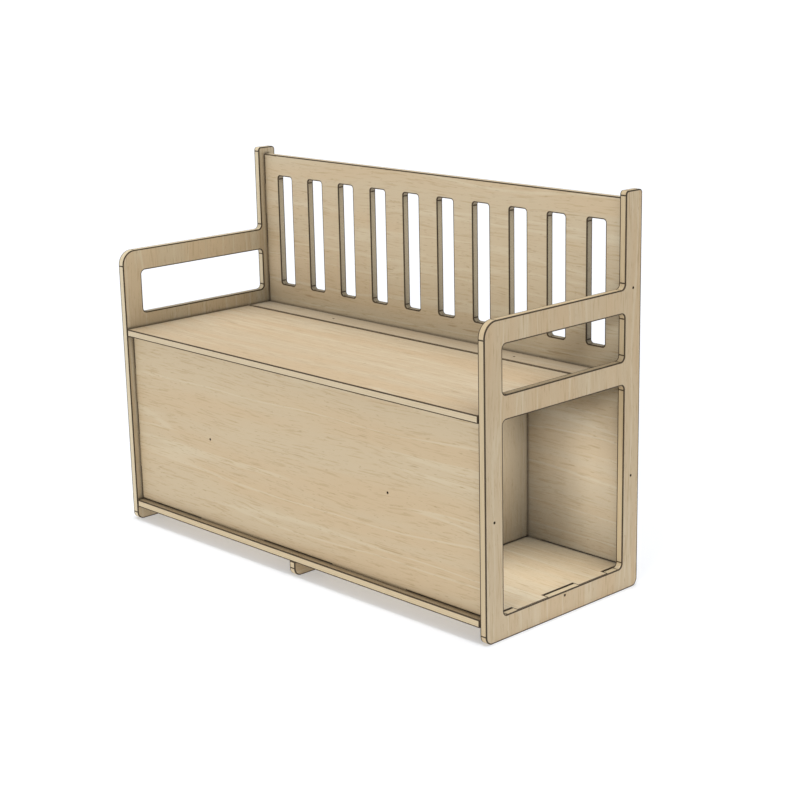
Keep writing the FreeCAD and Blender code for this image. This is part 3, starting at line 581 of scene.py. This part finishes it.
for metal, (bright, dull, roughness, patch) in METALS.items():
    material, tree = new_material(metal)
    place = add(tree, "TexCoord").outputs["Object"]
    cloud = add(tree, "TexNoise", {"Vector": place, "Scale": 1 / (patch * MM), "Detail": METAL_DETAIL})
    tones = {MIX_BY: cloud, MIX_FROM: linear(bright), MIX_TO: linear(dull)}
    gloss = {"Value": cloud, "To Min": roughness - SMOOTHER, "To Max": roughness + ROUGHER}
    grit = {"Strength": METAL_STRENGTH, "Distance": METAL_RELIEF, "Height": cloud}
    shader = add(tree, "BsdfPrincipled", {
        "Base Color": add(tree, "Mix", tones, data_type="RGBA"),
        "Metallic": 1.0,
        "Roughness": add(tree, "MapRange", gloss),
        "Normal": add(tree, "Bump", grit)})
    add(tree, "OutputMaterial", {"Surface": shader})
    for name in METAL_NODES[metal]:
        frame["nodes"][name].data.materials.clear()
        frame["nodes"][name].data.materials.append(material)
    print(metal, "on", len(METAL_NODES[metal]), "nodes")

# %% [markdown]
# ## Floor and room
#
# The bench stands on a white table that is lit a little from within, so its shadow stays pale. The table
# is left out when the wood looks for things within reach, so the painted shade doesn't darken the bench's
# foot.

# %% The floor
FLOOR_HALF = 40.0
FLOOR_WHITE, PURE_WHITE = "#D7DADF", "#FFFFFF"
FLOOR_ROUGHNESS = 0.9
FLOOR_GLOW = 0.30

floor_mesh = bpy.data.meshes.new("studio_floor")
corners = [(x * FLOOR_HALF, y * FLOOR_HALF, 0.0) for x, y in ((-1, -1), (1, -1), (1, 1), (-1, 1))]
floor_mesh.from_pydata(corners, [], [(0, 1, 2, 3)])
studio_floor = bpy.data.objects.new("studio_floor", floor_mesh)
bpy.context.scene.collection.objects.link(studio_floor)
table_top, tree = new_material("white_light_table")
shader = add(tree, "BsdfPrincipled", {
    "Base Color": linear(FLOOR_WHITE),
    "Roughness": FLOOR_ROUGHNESS,
    "Specular IOR Level": 0.0,
    "Emission Color": linear(PURE_WHITE),
    "Emission Strength": FLOOR_GLOW})
add(tree, "OutputMaterial", {"Surface": shader})
floor_mesh.materials.append(table_top)
studio_floor.visible_shadow = False
print("floor", 2 * FLOOR_HALF, "m wide")

# %% [markdown]
# The room is white at the horizon, where the table ends, and dim higher up. Nothing shines from below the
# table.

# %% The room
ROOM_DIM, ROOM_BRIGHT = 0.3, 1.0
HORIZON_BAND = math.sin(math.radians(8))

room = bpy.data.worlds.new("white_room")
room.use_nodes = True
tree = room.node_tree
tree.nodes.clear()
toward = add(tree, "TexCoord").outputs["Generated"]
height = add(tree, "SeparateXYZ", {0: toward}).outputs["Z"]
glow = add(tree, "MapRange", {
    "Value": height, "From Min": 0.0, "From Max": HORIZON_BAND, "To Min": ROOM_BRIGHT, "To Max": ROOM_DIM})
above_floor = add(tree, "Math", {0: height, 1: 0.0}, operation="GREATER_THAN")
strength = add(tree, "Math", {0: glow, 1: above_floor}, operation="MULTIPLY")
room_light = add(tree, "Background", {"Color": linear(PURE_WHITE), "Strength": strength})
add(tree, "OutputWorld", {"Surface": room_light})
bpy.context.scene.world = room
print("room of strength", ROOM_DIM, "and", ROOM_BRIGHT, "at the horizon")

# %% [markdown]
# ## Lights
#
# Four suns light the bench evenly, near and far: a sharp and a soft one overhead for the seat and the
# shadow, a low one beside the camera for the front, and a weak one from the right.

# %% Suns
# name, degrees round from the front to the right, degrees above the floor, spread in degrees, strength
SUNS = [
    ("overhead_light", 0, 90, 3, 1.5),
    ("overhead_glow", 0, 90, 60, 0.7),
    ("camera_light", 21, 16, 12, 0.9),
    ("side_light", 65, 40, 30, 0.12),
]
SUN_DISTANCE = 5

for name, around, above, spread, strength in SUNS:
    lamp = bpy.data.lights.new(name, "SUN")
    lamp.angle = math.radians(spread)
    lamp.energy = strength
    light = bpy.data.objects.new(name, lamp)
    turn, rise = math.radians(around), math.radians(above)
    place = Vector((math.sin(turn) * math.cos(rise), -math.cos(turn) * math.cos(rise), math.sin(rise)))
    light.location = SUN_DISTANCE * place
    light.rotation_mode = "QUATERNION"
    light.rotation_quaternion = place.to_track_quat("Z", "Y")
    bpy.context.scene.collection.objects.link(light)
print(len(SUNS), "suns")

# %% [markdown]
# The cubbies are deep and would come out gloomier than in the photograph, so a small flat lamp lights each
# of them from under the seat.

# %% Cubby lamps
CUBBY_MIDDLE, CUBBY_TOP = 0.33, 0.335
CUBBY_LAMP_SIZE = (0.14, 0.22)
CUBBY_LAMP_POWER = 0.43
CUBBY_LAMP_SPREAD = math.radians(110)
COOL_WHITE = "#E7F1FF"

for name, x in (("left_cubby_light", -CUBBY_MIDDLE), ("right_cubby_light", CUBBY_MIDDLE)):
    lamp = bpy.data.lights.new(name, "AREA")
    lamp.shape = "RECTANGLE"
    lamp.size, lamp.size_y = CUBBY_LAMP_SIZE
    lamp.energy = CUBBY_LAMP_POWER
    lamp.color = linear(COOL_WHITE)[:3]
    lamp.spread = CUBBY_LAMP_SPREAD
    light = bpy.data.objects.new(name, lamp)
    light.location = (x, 0.0, CUBBY_TOP)
    light.visible_camera = False
    bpy.context.scene.collection.objects.link(light)
    print(name, "at x", x, "m")

# %% [markdown]
# ## Camera
#
# The camera stands to the front right of the bench, a little above its back, with a long lens. Its place
# and turn were worked out from the corners of the boards, whose real sizes are known. A small shift of the
# lens stands for a picture that was cropped a little off its middle. The Standard view keeps colours as
# they are mixed.

# %% The camera
CAMERA_PLACE = (2.16639, -1.98596, 1.04951)
CAMERA_RIGHT = Vector((0.7089, 0.70516, -0.01459))
CAMERA_DOWN = Vector((0.1731, -0.19399, -0.96561))
CAMERA_AHEAD = Vector((-0.68374, 0.68199, -0.25958))
LENS = 80.732
SENSOR = 36.0
SHIFT = (-0.05, 0.00375)

lens = bpy.data.cameras.new("bench_camera")
lens.lens = LENS
lens.sensor_width = SENSOR
lens.shift_x, lens.shift_y = SHIFT
camera = bpy.data.objects.new("bench_camera", lens)
turned = Matrix((CAMERA_RIGHT, -CAMERA_DOWN, -CAMERA_AHEAD)).transposed()
camera.matrix_world = Matrix.Translation(CAMERA_PLACE) @ turned.to_4x4()
bpy.context.scene.collection.objects.link(camera)
bpy.context.scene.camera = camera
bpy.context.scene.view_settings.view_transform = "Standard"
print("camera at", CAMERA_PLACE, "lens", LENS)
